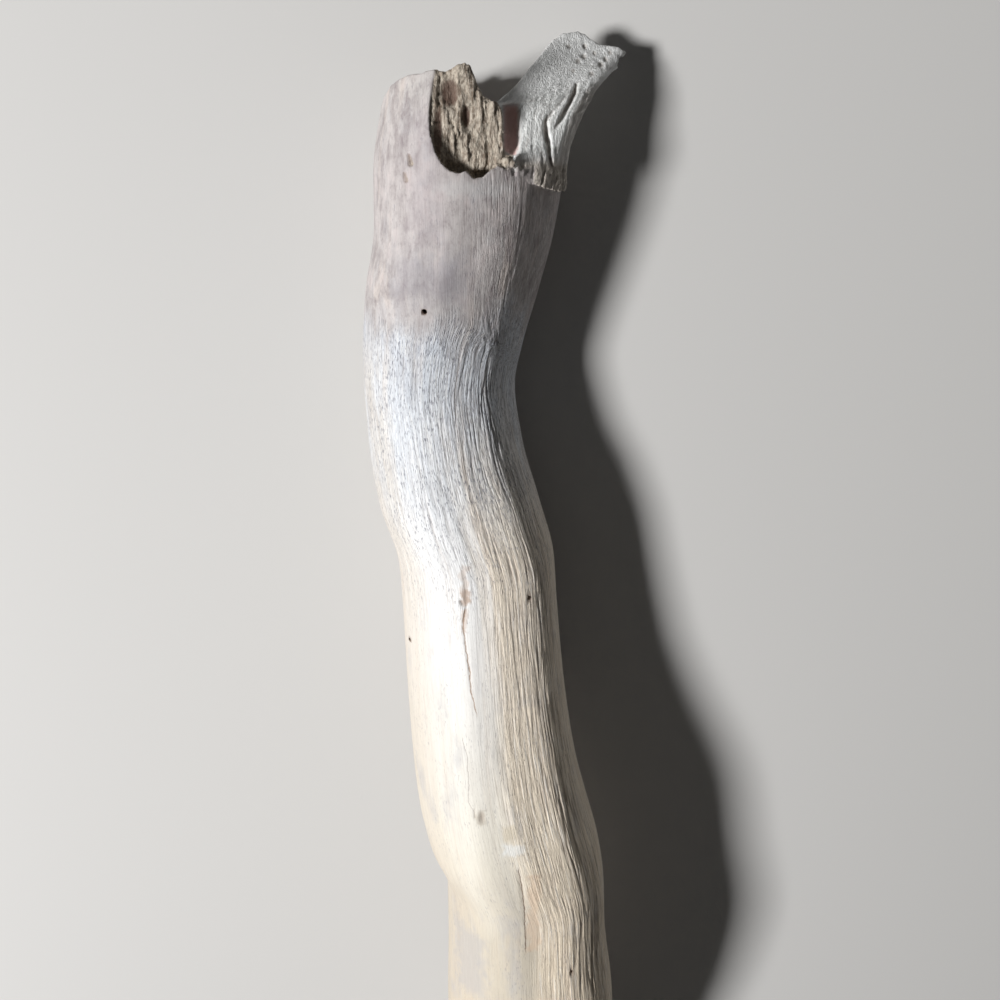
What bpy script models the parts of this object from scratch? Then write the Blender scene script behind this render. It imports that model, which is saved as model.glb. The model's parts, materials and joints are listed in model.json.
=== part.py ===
# Driftwood limb: an S-bent, bleached branch lying on a level surface. It arches clear of the surface
# in its middle, ends at one side in a worn break, and at the other in a fork of a broken stub and a
# leaning prong. Lengths are in millimetres, turned into metres by "mm".

import math

import bmesh
import bpy
import numpy as np
from mathutils import Matrix, Vector, noise
from mathutils.bvhtree import BVHTree

mm = 0.001

# Outline of the limb at places along its length: y, left edge, right edge, underside, top.
stations = [
    (114, -21.0, 15.0, 15.0, 37.0),
    (105, -24.4, 15.0, 6.0, 40.0),
    (98, -26.2, 15.0, 1.6, 41.4),
    (86, -28.3, 14.6, -0.8, 42.5),
    (73, -28.8, 12.8, -0.8, 41.8),
    (59, -31.4, 9.3, -0.8, 40.4),
    (45, -32.8, 5.4, -0.7, 38.2),
    (36, -33.0, 3.8, -0.7, 37.0),
    (22, -32.3, 5.7, -0.6, 37.9),
    (7, -30.3, 10.0, -0.5, 40.0),
    (-8, -25.9, 14.0, 0.8, 41.0),
    (-19, -25.0, 14.8, 2.5, 42.5),
    (-40, -24.0, 16.8, 5.6, 46.4),
    (-60, -22.4, 20.0, 9.8, 52.0),
    (-71, -21.0, 23.0, 11.6, 55.4),
    (-82, -18.4, 26.1, 13.5, 57.6),
    (-93, -13.9, 27.8, 16.5, 58.6),
    (-105, -13.8, 28.3, 17.6, 60.2),
    (-130, -14.2, 31.1, 17.4, 62.6),
    (-150, -13.4, 31.6, 14.8, 59.6),
    (-172, -12.6, 30.6, 9.6, 53.4),
    (-195, -12.6, 28.8, 3.2, 45.4),
    (-212, -12.2, 28.2, -1.1, 41.0),
    (-236, -12.0, 28.0, -1.5, 39.6),
]
ring_pitch = 5.2
ring_points = 52

# The limb's right side is flatter and steeper than its top. It starts along a soft crest: y, how far
# right of the middle the crest lies there, as a share of the half width, and how full the shoulder
# before it is (2 is round).
crest_line = [
    (114, 0.60, 2.0),
    (80, 0.62, 2.0),
    (52, 0.63, 2.0),
    (37, 0.68, 2.1),
    (24, 0.75, 2.2),
    (15, 0.84, 2.4),
    (7, 0.88, 2.6),
    (-12, 0.88, 2.6),
    (-50, 0.87, 2.7),
    (-90, 0.86, 2.7),
    (-130, 0.88, 2.7),
    (-236, 0.88, 2.5),
]
crest_firmness = 0.9
crest_softness = 0.9

# Towards the fork the top leans to the left: y, and how far.
lean_line = [(114, 3.0), (60, 3.0), (40, 2.0), (25, 0.5), (0, 0.0), (-236, 0.0)]

# The far end is worn round: where that starts, how far it reaches, how much thinner it gets.
worn_from = -221.0
worn_reach = 12.0
worn_share = 0.22

# The knuckle where the limb bends: y, reach along the limb, height.
knuckle = (53.0, 7.0, 0.9)

# Plan of the broken stub and the fork, from the stub's outer wall round to the right of the limb.
fork_outline = [
    (-40.0, 90.0),
    (-27.6, 94.0),
    (-26.6, 97.5),
    (-24.8, 100.5),
    (-23.0, 102.4),
    (-20.6, 103.7),
    (-16.3, 104.3),
    (-13.5, 104.9),
    (-11.6, 104.6),
    (-9.4, 105.4),
    (-7.6, 106.2),
    (-6.0, 105.6),
    (-5.2, 103.8),
    (-3.7, 100.6),
    (-0.2, 98.9),
    (0.5, 94.7),
    (0.9, 84.4),
    (4.2, 83.6),
    (9.6, 81.4),
    (13.5, 80.6),
    (40.0, 80.2),
]

# Plan of the prong's root, a hair clear of the fork, and of its worn tip.
prong_root = [
    (0.3, 130.0),
    (0.85, 98.0),
    (1.25, 84.9),
    (4.4, 84.0),
    (9.7, 81.8),
    (13.6, 81.0),
    (40.0, 80.6),
    (40.0, 60.0),
    (-40.0, 60.0),
    (-40.0, 130.0),
]
prong_tip = [
    (4.0, 112.0),
    (12.4, 113.4),
    (14.6, 114.8),
    (17.3, 115.1),
    (19.4, 114.7),
    (20.2, 113.8),
    (22.4, 112.7),
    (26.8, 112.2),
    (28.9, 111.3),
    (28.6, 109.7),
    (26.6, 108.0),
    (40.0, 104.0),
    (40.0, 130.0),
    (4.0, 130.0),
]

# The fracture across the stub: its left lip, its near lip and the levels of its floor.
left_lip = [(-13.2, 88.9), (-14.4, 93.0), (-14.5, 96.8), (-14.0, 101.1), (-13.4, 104.9), (-13.2, 112.0)]
near_lip = [(-13.2, 88.9), (-10.4, 85.4), (-7.0, 85.4), (-5.5, 84.0), (-3.6, 84.2), (-0.6, 86.2), (1.4, 85.6)]
floor_level = 38.0
floor_fall_right = 0.5
floor_fall_out = 0.34

# Prong: left edge, right edge, hollow of the inner face, depth below it.
prong_sections = [
    ((-9.0, 78.0, 37.0), (14.8, 77.5, 28.0), 0.4, 28.0),
    ((-9.0, 84.0, 33.6), (14.6, 83.5, 28.4), 1.0, 27.8),
    ((-7.0, 91.0, 27.5), (15.5, 90.5, 28.0), 1.8, 25.5),
    ((-2.6, 97.6, 23.8), (18.4, 97.4, 26.0), 2.4, 19.5),
    ((3.2, 102.8, 20.0), (21.1, 101.9, 22.0), 2.4, 13.0),
    ((7.4, 107.8, 17.5), (25.0, 106.3, 16.2), 2.0, 8.5),
    ((11.2, 112.4, 15.0), (28.6, 109.2, 11.8), 1.2, 5.6),
    ((16.0, 118.0, 12.6), (31.0, 113.0, 9.4), 0.8, 3.6),
]
prong_edge = 1.3
shell_share = 0.78
shell_drop = 2.6
crevice_x = 2.4
crevice_depth = 4.5

# The fissure between the prong's inner face and its outer shell: x, y, half width.
fissure_line = [
    (18.2, 106.4, 0.1),
    (16.8, 103.8, 0.5),
    (14.4, 99.4, 0.8),
    (12.0, 94.6, 1.0),
    (11.0, 90.3, 0.8),
    (10.9, 86.8, 0.5),
    (11.2, 84.4, 0.1),
]
fissure_depth = 2.2

# Insect holes: x, y. They go straight into the top of the limb.
insect_holes = [(-16.5, 56.3), (7.0, -12.7), (-22.5, -26.1), (17.9, -105.5)]
insect_bore = 1.5
insect_depth = 7.0

# The split along the top of the limb: x, y, half width.
split_line = [
    (-9.0, -1.6, 0.1),
    (-8.6, -7.0, 0.45),
    (-8.2, -11.4, 1.0),
    (-8.1, -17.0, 0.5),
    (-7.7, -25.0, 0.6),
    (-7.1, -30.0, 0.1),
]
split_depth = 1.6

# The oval knot lower down: x, y, half width, half length, depth.
knot = (-4.6, -63.5, 1.4, 2.6, 0.8)


def smooth_through(places, values, place):
    """A curve through the given values that never swings past them."""
    x = np.asarray(places, float)
    v = np.asarray(values, float)
    step = np.diff(x)
    slope = np.diff(v) / step
    rate = np.zeros(len(x))
    rate[0] = slope[0]
    rate[-1] = slope[-1]
    for i in range(1, len(x) - 1):
        if slope[i - 1] * slope[i] > 0:
            w1 = 2 * step[i] + step[i - 1]
            w2 = step[i] + 2 * step[i - 1]
            rate[i] = (w1 + w2) / (w1 / slope[i - 1] + w2 / slope[i])
    i = int(np.clip(np.searchsorted(x, place) - 1, 0, len(step) - 1))
    t = (place - x[i]) / step[i]
    a = (1 + 2 * t) * (1 - t) ** 2
    b = t * (1 - t) ** 2
    c = t * t * (3 - 2 * t)
    d = t * t * (t - 1)
    return a * v[i] + b * step[i] * rate[i] + c * v[i + 1] + d * step[i] * rate[i + 1]


def edges_at(y):
    """Left edge, right edge, underside and top of the limb at y."""
    rows = stations[::-1]
    places = [row[0] for row in rows]
    return [smooth_through(places, [row[k] for row in rows], y) for k in range(1, 5)]


def value_along(line, y):
    """The value at y of a line of (y, value)."""
    rows = line[::-1]
    return smooth_through([row[0] for row in rows], [row[1] for row in rows], y)


def limb_point(y, angle):
    """A point of the limb's skin, angle being counted from the right over the top."""
    left, right, under, top = edges_at(y)
    across = (right - left) / 2
    up = (top - under) / 2
    middle = Vector(((left + right) / 2, y, (under + top) / 2))
    x = across * math.cos(angle)
    z = up * math.sin(angle)
    if x > 0 and z > 0:
        fullness = 2 / value_along([(row[0], row[2]) for row in crest_line], y)
        x = across * math.cos(angle) ** fullness
        z = up * math.sin(angle) ** fullness
    lump = noise.noise(Vector((x * 0.06, y * 0.022, z * 0.06 + 7.0)))
    ripple = noise.noise(Vector((x * 0.16, y * 0.03, z * 0.16 + 3.0)))
    swell = 1 + abs(math.sin(angle)) * (0.05 * lump + 0.022 * ripple)
    x *= swell
    z *= swell
    share = value_along([(row[0], row[1]) for row in crest_line], y)
    turn = math.acos(share) / 2
    past = (x * math.cos(turn) + z * math.sin(turn) - across * math.cos(turn)) / crest_softness - 1
    back = crest_firmness * crest_softness * (max(0.0, past) + math.log1p(math.exp(-abs(past))))
    x -= back * math.cos(turn) + value_along(lean_line, y) * max(0.0, math.sin(angle)) ** 2
    z -= back * math.sin(turn)
    bump = knuckle[2] * math.exp(-(((y - knuckle[0] + 0.2 * x) / knuckle[1]) ** 2))
    z += bump * max(0.0, math.sin(angle)) ** 2
    worn = max(0.0, min(1.0, (worn_from - y) / worn_reach))
    shrink = 1 - worn_share * worn * worn
    return middle + Vector((x * shrink, 0, z * shrink))


def new_object(name, points, faces, collection):
    """A mesh object from points in millimetres."""
    mesh = bpy.data.meshes.new(name)
    mesh.from_pydata([tuple(c * mm for c in p) for p in points], [], faces)
    mesh.update()
    made = bpy.data.objects.new(name, mesh)
    collection.objects.link(made)
    return made


def face_outwards(thing):
    body = bmesh.new()
    body.from_mesh(thing.data)
    bmesh.ops.recalc_face_normals(body, faces=body.faces)
    body.to_mesh(thing.data)
    body.free()


def loft(name, rings, collection):
    """A closed body through rings that have the same number of points."""
    count = len(rings[0])
    points = [p for ring in rings for p in ring]
    faces = []
    for r in range(len(rings) - 1):
        for k in range(count):
            n = (k + 1) % count
            faces.append((r * count + k, r * count + n, (r + 1) * count + n, (r + 1) * count + k))
    faces.append(tuple(range(count)))
    last = (len(rings) - 1) * count
    faces.append(tuple(last + k for k in range(count)))
    made = new_object(name, points, faces, collection)
    face_outwards(made)
    return made


def prism(name, outline, low, high, collection):
    """A flat outline made solid between two levels."""
    drawn = bpy.data.curves.new(name, "CURVE")
    drawn.dimensions = "2D"
    drawn.fill_mode = "BOTH"
    drawn.extrude = (high - low) / 2 * mm
    line = drawn.splines.new("POLY")
    line.points.add(len(outline) - 1)
    for point, (x, y) in zip(line.points, outline):
        point.co = (x * mm, y * mm, 0, 1)
    line.use_cyclic_u = True
    holder = bpy.data.objects.new(name, drawn)
    collection.objects.link(holder)
    holder.location.z = (low + high) / 2 * mm
    bpy.context.view_layer.update()
    mesh = bpy.data.meshes.new_from_object(holder.evaluated_get(bpy.context.evaluated_depsgraph_get()))
    body = bmesh.new()
    body.from_mesh(mesh)
    bmesh.ops.remove_doubles(body, verts=body.verts, dist=0.00001)
    bmesh.ops.recalc_face_normals(body, faces=body.faces)
    body.to_mesh(mesh)
    body.free()
    made = bpy.data.objects.new(name, mesh)
    collection.objects.link(made)
    made.matrix_world = holder.matrix_world
    bpy.data.objects.remove(holder)
    bpy.data.curves.remove(drawn)
    return made


def cut(thing, cutter):
    bore = thing.modifiers.new(cutter.name, "BOOLEAN")
    bore.operation = "DIFFERENCE"
    bore.solver = "EXACT"
    bore.object = cutter


def hide_cutter(cutter):
    cutter.hide_render = True
    cutter.display_type = "WIRE"


def near_lip_y(x):
    return float(np.interp(x, [p[0] for p in near_lip], [p[1] for p in near_lip]))


def left_lip_x(y):
    return float(np.interp(y, [p[1] for p in left_lip], [p[0] for p in left_lip]))


def fracture_z(x, y):
    """Level of the stringy fracture floor: fibres run along y, lower towards the outside."""
    fibre = noise.noise(Vector((x * 0.55, y * 0.07, 1.0)))
    splinter = noise.noise(Vector((x * 1.1, y * 0.16, 5.0)))
    level = floor_level - floor_fall_right * (x + 14) - floor_fall_out * (y - 88)
    rise = 2.6 * math.exp(-max(0.0, y - near_lip_y(x)) / 2.4)
    pocket = 1.8 * math.exp(-(((x + 9.4) / 2.4) ** 2) - ((y - 101.5) / 3.6) ** 2)
    return level + rise - pocket + 1.3 * fibre + 0.7 * splinter


def lifted_grid(name, columns, rows, place, height, collection):
    """A grid set on a surface by place(u, v) and raised by height into a solid."""
    body = bmesh.new()
    bmesh.ops.create_grid(body, x_segments=columns, y_segments=rows, size=0.5)
    for vert in body.verts:
        x, y, z = place(vert.co.x + 0.5, vert.co.y + 0.5)
        vert.co = Vector((x, y, z)) * mm
    top = bmesh.ops.extrude_face_region(body, geom=body.faces[:])
    lift = Vector(height) * mm
    for item in top["geom"]:
        if isinstance(item, bmesh.types.BMVert):
            item.co += lift
    bmesh.ops.recalc_face_normals(body, faces=body.faces)
    mesh = bpy.data.meshes.new(name)
    body.to_mesh(mesh)
    body.free()
    made = bpy.data.objects.new(name, mesh)
    collection.objects.link(made)
    return made


def scoop_place(u, v):
    x = -13.2 + u * 14.6
    start = near_lip_y(x)
    y = start + v * (112 - start)
    x += (left_lip_x(y) + 13.2) * (1 - u)
    return x, y, fracture_z(x, y)


def far_break_place(u, v):
    x = -24 + u * 64
    z = -8 + v * 60
    ragged = 2.2 * noise.noise(Vector((x * 0.09, z * 0.09, 2.0)))
    splinter = 1.3 * noise.noise(Vector((x * 0.3, z * 0.3, 9.0)))
    return x, -226.5 + 0.09 * (z - 20) - 0.06 * (x - 8) + ragged + splinter, z


def prong_ring(left, right, hollow, depth):
    """A section of the prong: its inner face from left to right, then its belly back again."""
    steps = 14
    low = Vector((0, 0, -prong_edge))
    upper = []
    lower = []
    for k in range(steps + 1):
        u = k / steps
        edge = left.lerp(right, u)
        near = math.exp(-(((edge.x - crevice_x) / 1.5) ** 4))
        window = 1 / (1 + math.exp((edge.y - 98.6) / 0.6)) / (1 + math.exp((86.8 - edge.y) / 0.5))
        dip = hollow * math.sin(math.pi * u) + crevice_depth * near * window
        dip += shell_drop * max(0.0, (u - shell_share) / (1 - shell_share)) ** 2
        grain = 0.5 * noise.noise(Vector((u * 9, edge.y * 0.05, 4.0)))
        upper.append(edge + Vector((0, 0, grain - dip)))
        belly = (1 - abs(2 * u - 1) ** 2.6) ** (1 / 2.2)
        rim = shell_drop * u ** 6
        lower.append(edge + low - Vector((0, 0, rim + (depth - prong_edge - rim) * belly)))
    return upper + lower[::-1]


def prong_rings(steps):
    rings = []
    places = list(range(len(prong_sections)))
    for k in range(steps + 1):
        s = k / steps * (len(prong_sections) - 1)
        ends = []
        for side in (0, 1):
            tracks = [[row[side][c] for row in prong_sections] for c in range(3)]
            track = [smooth_through(places, values, s) for values in tracks]
            ends.append(Vector(track))
        hollow = smooth_through(places, [row[2] for row in prong_sections], s)
        depth = smooth_through(places, [row[3] for row in prong_sections], s)
        rings.append(prong_ring(ends[0], ends[1], hollow, depth))
    return rings


def surface_of(thing):
    """The level of a body's upper side at x, y."""
    tree = BVHTree.FromObject(thing, bpy.context.evaluated_depsgraph_get())

    def level(x, y):
        hit = tree.ray_cast(Vector((x * mm, y * mm, 0.2)), Vector((0, 0, -1)))
        return hit[0].z / mm

    return level


def groove(name, line, depth, level, collection):
    """A tapering V along a line drawn on a body's upper side."""
    rings = []
    for x, y, half in line:
        z = level(x, y)
        rings.append([(x - half, y, z + 2), (x, y, z - depth), (x + half, y, z + 2)])
    return loft(name, rings, collection)


def wood(name, colour, roughness):
    made = bpy.data.materials.new(name)
    made.use_nodes = True
    shader = made.node_tree.nodes["Principled BSDF"]
    shader.inputs["Base Color"].default_value = (*colour, 1)
    shader.inputs["Roughness"].default_value = roughness
    shader.inputs["Metallic"].default_value = 0.0
    made.diffuse_color = (*colour, 1)
    return made


def move_to(thing, collection):
    for holder in list(thing.users_collection):
        holder.objects.unlink(thing)
    collection.objects.link(thing)


def box(name, low, high, collection):
    size = [h - l for l, h in zip(low, high)]
    middle = [(l + h) / 2 for l, h in zip(low, high)]
    bpy.ops.mesh.primitive_cube_add(size=1, location=[c * mm for c in middle])
    made = bpy.context.object
    made.name = name
    made.data.transform(Matrix.Diagonal([s * mm for s in size] + [1]))
    move_to(made, collection)
    return made


for old in list(bpy.data.objects):
    bpy.data.objects.remove(old)

scene = bpy.context.scene
parts = bpy.data.collections.new("driftwood")
cutters = bpy.data.collections.new("cutters")
scene.collection.children.link(parts)
scene.collection.children.link(cutters)

# The limb, lofted from the far break to past the stub.
first = -236.0
last = 114.0
ring_count = int((last - first) / ring_pitch)
limb_rings = []
for r in range(ring_count + 1):
    y = first + (last - first) * r / ring_count
    ring = [limb_point(y, 2 * math.pi * k / ring_points) for k in range(ring_points)]
    limb_rings.append(ring)
trunk = loft("trunk", limb_rings, parts)

# The prong, lofted along its lean from inside the fork to its tip.
prong = loft("prong", prong_rings(24), parts)

# The limb stops at the fork, and the prong starts a hair beyond it.
beyond_fork = fork_outline + [(40.0, 130.0), (-40.0, 130.0)]
fork_cutter = prism("fork_outline", beyond_fork, -20, 90, cutters)
root_cutter = prism("prong_root", prong_root, -20, 90, cutters)
tip_cutter = prism("prong_tip", prong_tip, -20, 90, cutters)

# The fracture across the top of the stub, and the break at the far end.
scoop = lifted_grid("fracture", 18, 14, scoop_place, (0, 0, 30), cutters)
far_break = lifted_grid("far_break", 16, 15, far_break_place, (0, -30, 0), cutters)

# The surface the limb lies on wears two long flats under it.
ground = box("ground", (-80, -280, -40), (80, 160, 0), cutters)

# Insect holes, split and knot on the limb, and the fissure on the prong.
bpy.context.view_layer.update()
limb_level = surface_of(trunk)
prong_level = surface_of(prong)
holes = []
for number, (x, y) in enumerate(insect_holes):
    bpy.ops.mesh.primitive_cylinder_add(
        vertices=12,
        radius=insect_bore / 2 * mm,
        depth=insect_depth * 2 * mm,
        location=(x * mm, y * mm, limb_level(x, y) * mm),
    )
    hole = bpy.context.object
    hole.name = "insect_hole_" + str(number + 1)
    move_to(hole, cutters)
    holes.append(hole)

split = groove("split", split_line, split_depth, limb_level, cutters)
fissure = groove("fissure", fissure_line, fissure_depth, prong_level, cutters)

bpy.ops.mesh.primitive_uv_sphere_add(segments=14, ring_count=8, radius=mm)
dimple = bpy.context.object
dimple.name = "knot_dimple"
dimple.data.transform(Matrix.Diagonal((knot[2], knot[3], knot[4], 1)))
dimple.location = Vector((knot[0], knot[1], limb_level(knot[0], knot[1]))) * mm
move_to(dimple, cutters)

for cutter in [fork_cutter, scoop, far_break, ground, split, dimple] + holes:
    cut(trunk, cutter)
for cutter in [root_cutter, tip_cutter, fissure, ground]:
    cut(prong, cutter)
for cutter in cutters.objects:
    hide_cutter(cutter)

# The object's own frame: the middle of its box across and along, its underside at nought.
bpy.context.view_layer.update()
depsgraph = bpy.context.evaluated_depsgraph_get()
corners = []
for piece in (trunk, prong):
    done = piece.evaluated_get(depsgraph)
    corners += [done.matrix_world @ Vector(v.co) for v in done.data.vertices]
low = Vector([min(c[k] for c in corners) for k in range(3)])
high = Vector([max(c[k] for c in corners) for k in range(3)])
shift = Vector((-(low.x + high.x) / 2, -(low.y + high.y) / 2, -low.z))
for thing in list(parts.objects) + list(cutters.objects):
    thing.location += shift

trunk.data.materials.append(wood("bleached_wood", (0.60, 0.55, 0.49), 0.72))
prong.data.materials.append(wood("weathered_wood", (0.36, 0.32, 0.28), 0.8))
for piece in (trunk, prong):
    for polygon in piece.data.polygons:
        polygon.use_smooth = True
    piece.data.set_sharp_from_angle(angle=math.radians(40))
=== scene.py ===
import json
import math
from functools import partial

import bmesh
import bpy
import numpy as np
from mathutils import Matrix, Vector, noise
from mathutils.bvhtree import BVHTree

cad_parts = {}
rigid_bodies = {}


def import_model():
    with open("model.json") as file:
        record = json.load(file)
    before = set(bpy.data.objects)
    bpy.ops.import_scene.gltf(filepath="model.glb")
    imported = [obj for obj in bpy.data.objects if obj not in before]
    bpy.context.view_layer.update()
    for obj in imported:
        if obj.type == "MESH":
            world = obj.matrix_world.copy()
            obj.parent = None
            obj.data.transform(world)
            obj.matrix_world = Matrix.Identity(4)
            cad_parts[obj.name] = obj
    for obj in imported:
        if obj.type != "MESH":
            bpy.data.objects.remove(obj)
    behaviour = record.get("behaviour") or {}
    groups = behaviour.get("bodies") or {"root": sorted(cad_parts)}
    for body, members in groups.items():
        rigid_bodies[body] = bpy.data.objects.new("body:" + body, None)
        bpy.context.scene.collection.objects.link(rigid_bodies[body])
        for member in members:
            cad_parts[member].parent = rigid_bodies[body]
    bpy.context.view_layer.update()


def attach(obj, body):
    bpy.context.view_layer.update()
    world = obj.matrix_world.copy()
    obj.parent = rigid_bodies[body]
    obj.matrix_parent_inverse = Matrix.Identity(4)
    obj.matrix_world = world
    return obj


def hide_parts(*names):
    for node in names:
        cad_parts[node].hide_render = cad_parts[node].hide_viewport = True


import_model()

mm = 0.001
home = (0.82928, 56.77667, 0.0)  # where the drawing's zero lies in the CAD frame, in mm

limbShape = {
    # y, left edge, right edge, underside, top
    "rows": [
        (114, -21.0, 15.0, 15.0, 37.0),
        (105, -24.4, 15.0, 6.0, 40.0),
        (98, -26.2, 15.0, 1.6, 41.4),
        (86, -28.3, 14.6, -0.8, 42.5),
        (73, -28.8, 12.8, -0.8, 41.8),
        (59, -31.4, 9.3, -0.8, 40.4),
        (45, -32.8, 5.4, -0.7, 38.2),
        (36, -33.0, 3.8, -0.7, 37.0),
        (22, -32.3, 5.7, -0.6, 37.9),
        (7, -30.3, 10.0, -0.5, 40.0),
        (-8, -25.9, 14.0, 0.8, 41.0),
        (-19, -25.0, 14.8, 2.5, 42.5),
        (-40, -24.0, 16.8, 5.6, 46.4),
        (-60, -22.4, 20.0, 9.8, 52.0),
        (-71, -21.0, 23.0, 11.6, 55.4),
        (-82, -18.4, 26.1, 13.5, 57.6),
        (-93, -13.9, 27.8, 16.5, 58.6),
        (-105, -13.8, 28.3, 17.6, 60.2),
        (-130, -14.2, 31.1, 17.4, 62.6),
        (-150, -13.4, 31.6, 14.8, 59.6),
        (-172, -12.6, 30.6, 9.6, 53.4),
        (-195, -12.6, 28.8, 3.2, 45.4),
        (-212, -12.2, 28.2, -1.1, 41.0),
        (-236, -12.0, 28.0, -1.5, 39.6),
    ],
    # y, how far right of the middle the steep side starts, as a share of the half width, and how full
    # the shoulder before it is (2 is round)
    "crest": [
        (114, 0.60, 2.0), (80, 0.62, 2.0), (52, 0.63, 2.0), (37, 0.68, 2.1), (24, 0.75, 2.2), (15, 0.84, 2.4),
        (7, 0.88, 2.6), (-12, 0.88, 2.6), (-50, 0.87, 2.7), (-90, 0.86, 2.7), (-130, 0.88, 2.7), (-236, 0.88, 2.5),
    ],
    # y, how far the top leans to the left
    "lean": [(114, 3.0), (60, 3.0), (40, 2.0), (25, 0.5), (0, 0.0), (-236, 0.0)],
    "swells": [(0.05, 0.06, 0.022, 7), (0.022, 0.16, 0.03, 3)],  # share, pitch across, pitch along, shift
    "crestCut": (0.9, 0.81),      # how softly the steep side starts, and how far it is cut back
    "knuckle": (53.0, 7.0, 0.9),  # low ridge across the top: y, half width, height
    "seam": 71.0,                 # the fork end is made finer from here on
    "farEnd": -227.0,
    "worn": (-221.0, 12.0, 0.22),  # the far end is thinned: from y on, within this length, by this share
    "topFrom": 25.0,              # the marks of the top lie above this level
    "columns": 400,
    "rowCuts": (76, 1),
    "capRings": 15,
    # the grain turns sharply along a kink across the knuckle: x, y
    "kink": [(-30, 60.0), (-13, 56.6), (-7, 53.6), (-2, 50.2), (2, 47.0), (12, 45.0)],
    "kinkReach": 6.5,
    "aboveKink": (-11.6, 23.0),   # middle and half width of the straight run above it
    "grainSize": (20.0, 40.0),    # half width and height that the unbent grain is drawn on
    "grainDepth": 0.10,
    "crestDepth": 0.12,
}


def curveThrough(places, values, at):  # smooth, and never past its values
    order = np.argsort(places)
    x = np.asarray(places, float)[order]
    v = np.asarray(values, float)[order]
    step = np.diff(x)
    slope = np.diff(v) / step
    rate = np.zeros(len(x))
    rate[0], rate[-1] = slope[0], slope[-1]
    for i in range(1, len(x) - 1):
        if slope[i - 1] * slope[i] > 0:
            w1 = 2 * step[i] + step[i - 1]
            w2 = step[i] + 2 * step[i - 1]
            rate[i] = (w1 + w2) / (w1 / slope[i - 1] + w2 / slope[i])
    at = np.asarray(at, float)
    i = np.clip(np.searchsorted(x, at) - 1, 0, len(step) - 1)
    t = np.clip((at - x[i]) / step[i], -0.5, 1.5)
    a = (1 + 2 * t) * (1 - t) ** 2
    b = t * (1 - t) ** 2
    c = t * t * (3 - 2 * t)
    d = t * t * (t - 1)
    return a * v[i] + b * step[i] * rate[i] + c * v[i + 1] + d * step[i] * rate[i + 1]


def limbEdges(y):
    rows = limbShape["rows"]
    places = [row[0] for row in rows]
    return [curveThrough(places, [row[k] for row in rows], y) for k in range(1, 5)]


def alongLimb(name, column, y):
    rows = limbShape[name]
    return curveThrough([row[0] for row in rows], [row[column] for row in rows], y)


def softNoise(x, y, z):
    x, y, z = np.broadcast_arrays(x, y, z)
    return np.array([noise.noise(p) for p in zip(x.ravel(), y.ravel(), z.ravel())])


def limbSkin(y, angle):  # bare skin of the limb; the angle counts from the right over the top
    s = limbShape
    left, right, under, top = limbEdges(y)
    across, up = (right - left) / 2, (top - under) / 2
    x, z = across * np.cos(angle), up * np.sin(angle)
    full = 2 / alongLimb("crest", 2, y)
    shoulder = (x > 0) & (z > 0)
    x = np.where(shoulder, across * np.abs(np.cos(angle)) ** full, x)
    z = np.where(shoulder, up * np.abs(np.sin(angle)) ** full, z)
    swell = sum(share * softNoise(x * over, y * along, z * over + shift) for share, over, along, shift in s["swells"])
    swell = 1 + np.abs(np.sin(angle)) * swell
    x, z = x * swell, z * swell
    turn = np.arccos(alongLimb("crest", 1, y)) / 2
    soft, cut = s["crestCut"]
    past = (x * np.cos(turn) + z * np.sin(turn) - across * np.cos(turn)) / soft - 1
    back = cut * (np.maximum(0, past) + np.log1p(np.exp(-np.abs(past))))
    x = x - back * np.cos(turn) - alongLimb("lean", 1, y) * np.maximum(0, np.sin(angle)) ** 2
    z = z - back * np.sin(turn)
    place, width, height = s["knuckle"]
    z += height * np.exp(-(((y - place + 0.2 * x) / width) ** 2)) * np.maximum(0, np.sin(angle)) ** 2
    start, reach, thinner = s["worn"]
    worn = np.clip((start - y) / reach, 0, 1)
    shrink = 1 - thinner * worn * worn
    return (left + right) / 2 + x * shrink, (under + top) / 2 + z * shrink


def grit(points, seed):  # smooth noise, about -1 to 1, at many points at once
    base = np.floor(points).astype(np.int64)
    t = points - base
    fade = t * t * t * (t * (t * 6 - 15) + 10)
    total = np.zeros(len(points))
    for corner in range(8):
        step = np.array([(corner >> k) & 1 for k in range(3)])
        cell = ((base + step) & 0xFFFFFFFF).astype(np.uint32)
        h = cell[:, 0] * np.uint32(73856093) ^ cell[:, 1] * np.uint32(19349663) ^ cell[:, 2] * np.uint32(83492791)
        h = h ^ np.uint32(seed * 7919 + 17)
        for shift, factor in ((16, 2246822519), (13, 3266489917)):
            h = (h ^ (h >> np.uint32(shift))) * np.uint32(factor)
        h = h ^ (h >> np.uint32(16))
        away = t - step
        pull = [((h >> np.uint32(10 * k)) & np.uint32(1023)) / 511.5 - 1 for k in range(3)]
        weight = np.prod(np.where(step == 1, fade, 1 - fade), axis=1)
        total += weight * (pull[0] * away[:, 0] + pull[1] * away[:, 1] + pull[2] * away[:, 2])
    return total * 1.6


def smoothStep(low, high, value):
    t = np.clip((value - low) / (high - low), 0, 1)
    return t * t * (3 - 2 * t)


def straightened(x, y, z):  # the limb unbent: across and up, as shares of its half width and height
    left, right, under, top = limbEdges(y)
    return (x - (left + right) / 2) / ((right - left) / 2), (z - (under + top) / 2) / ((top - under) / 2)


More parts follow.
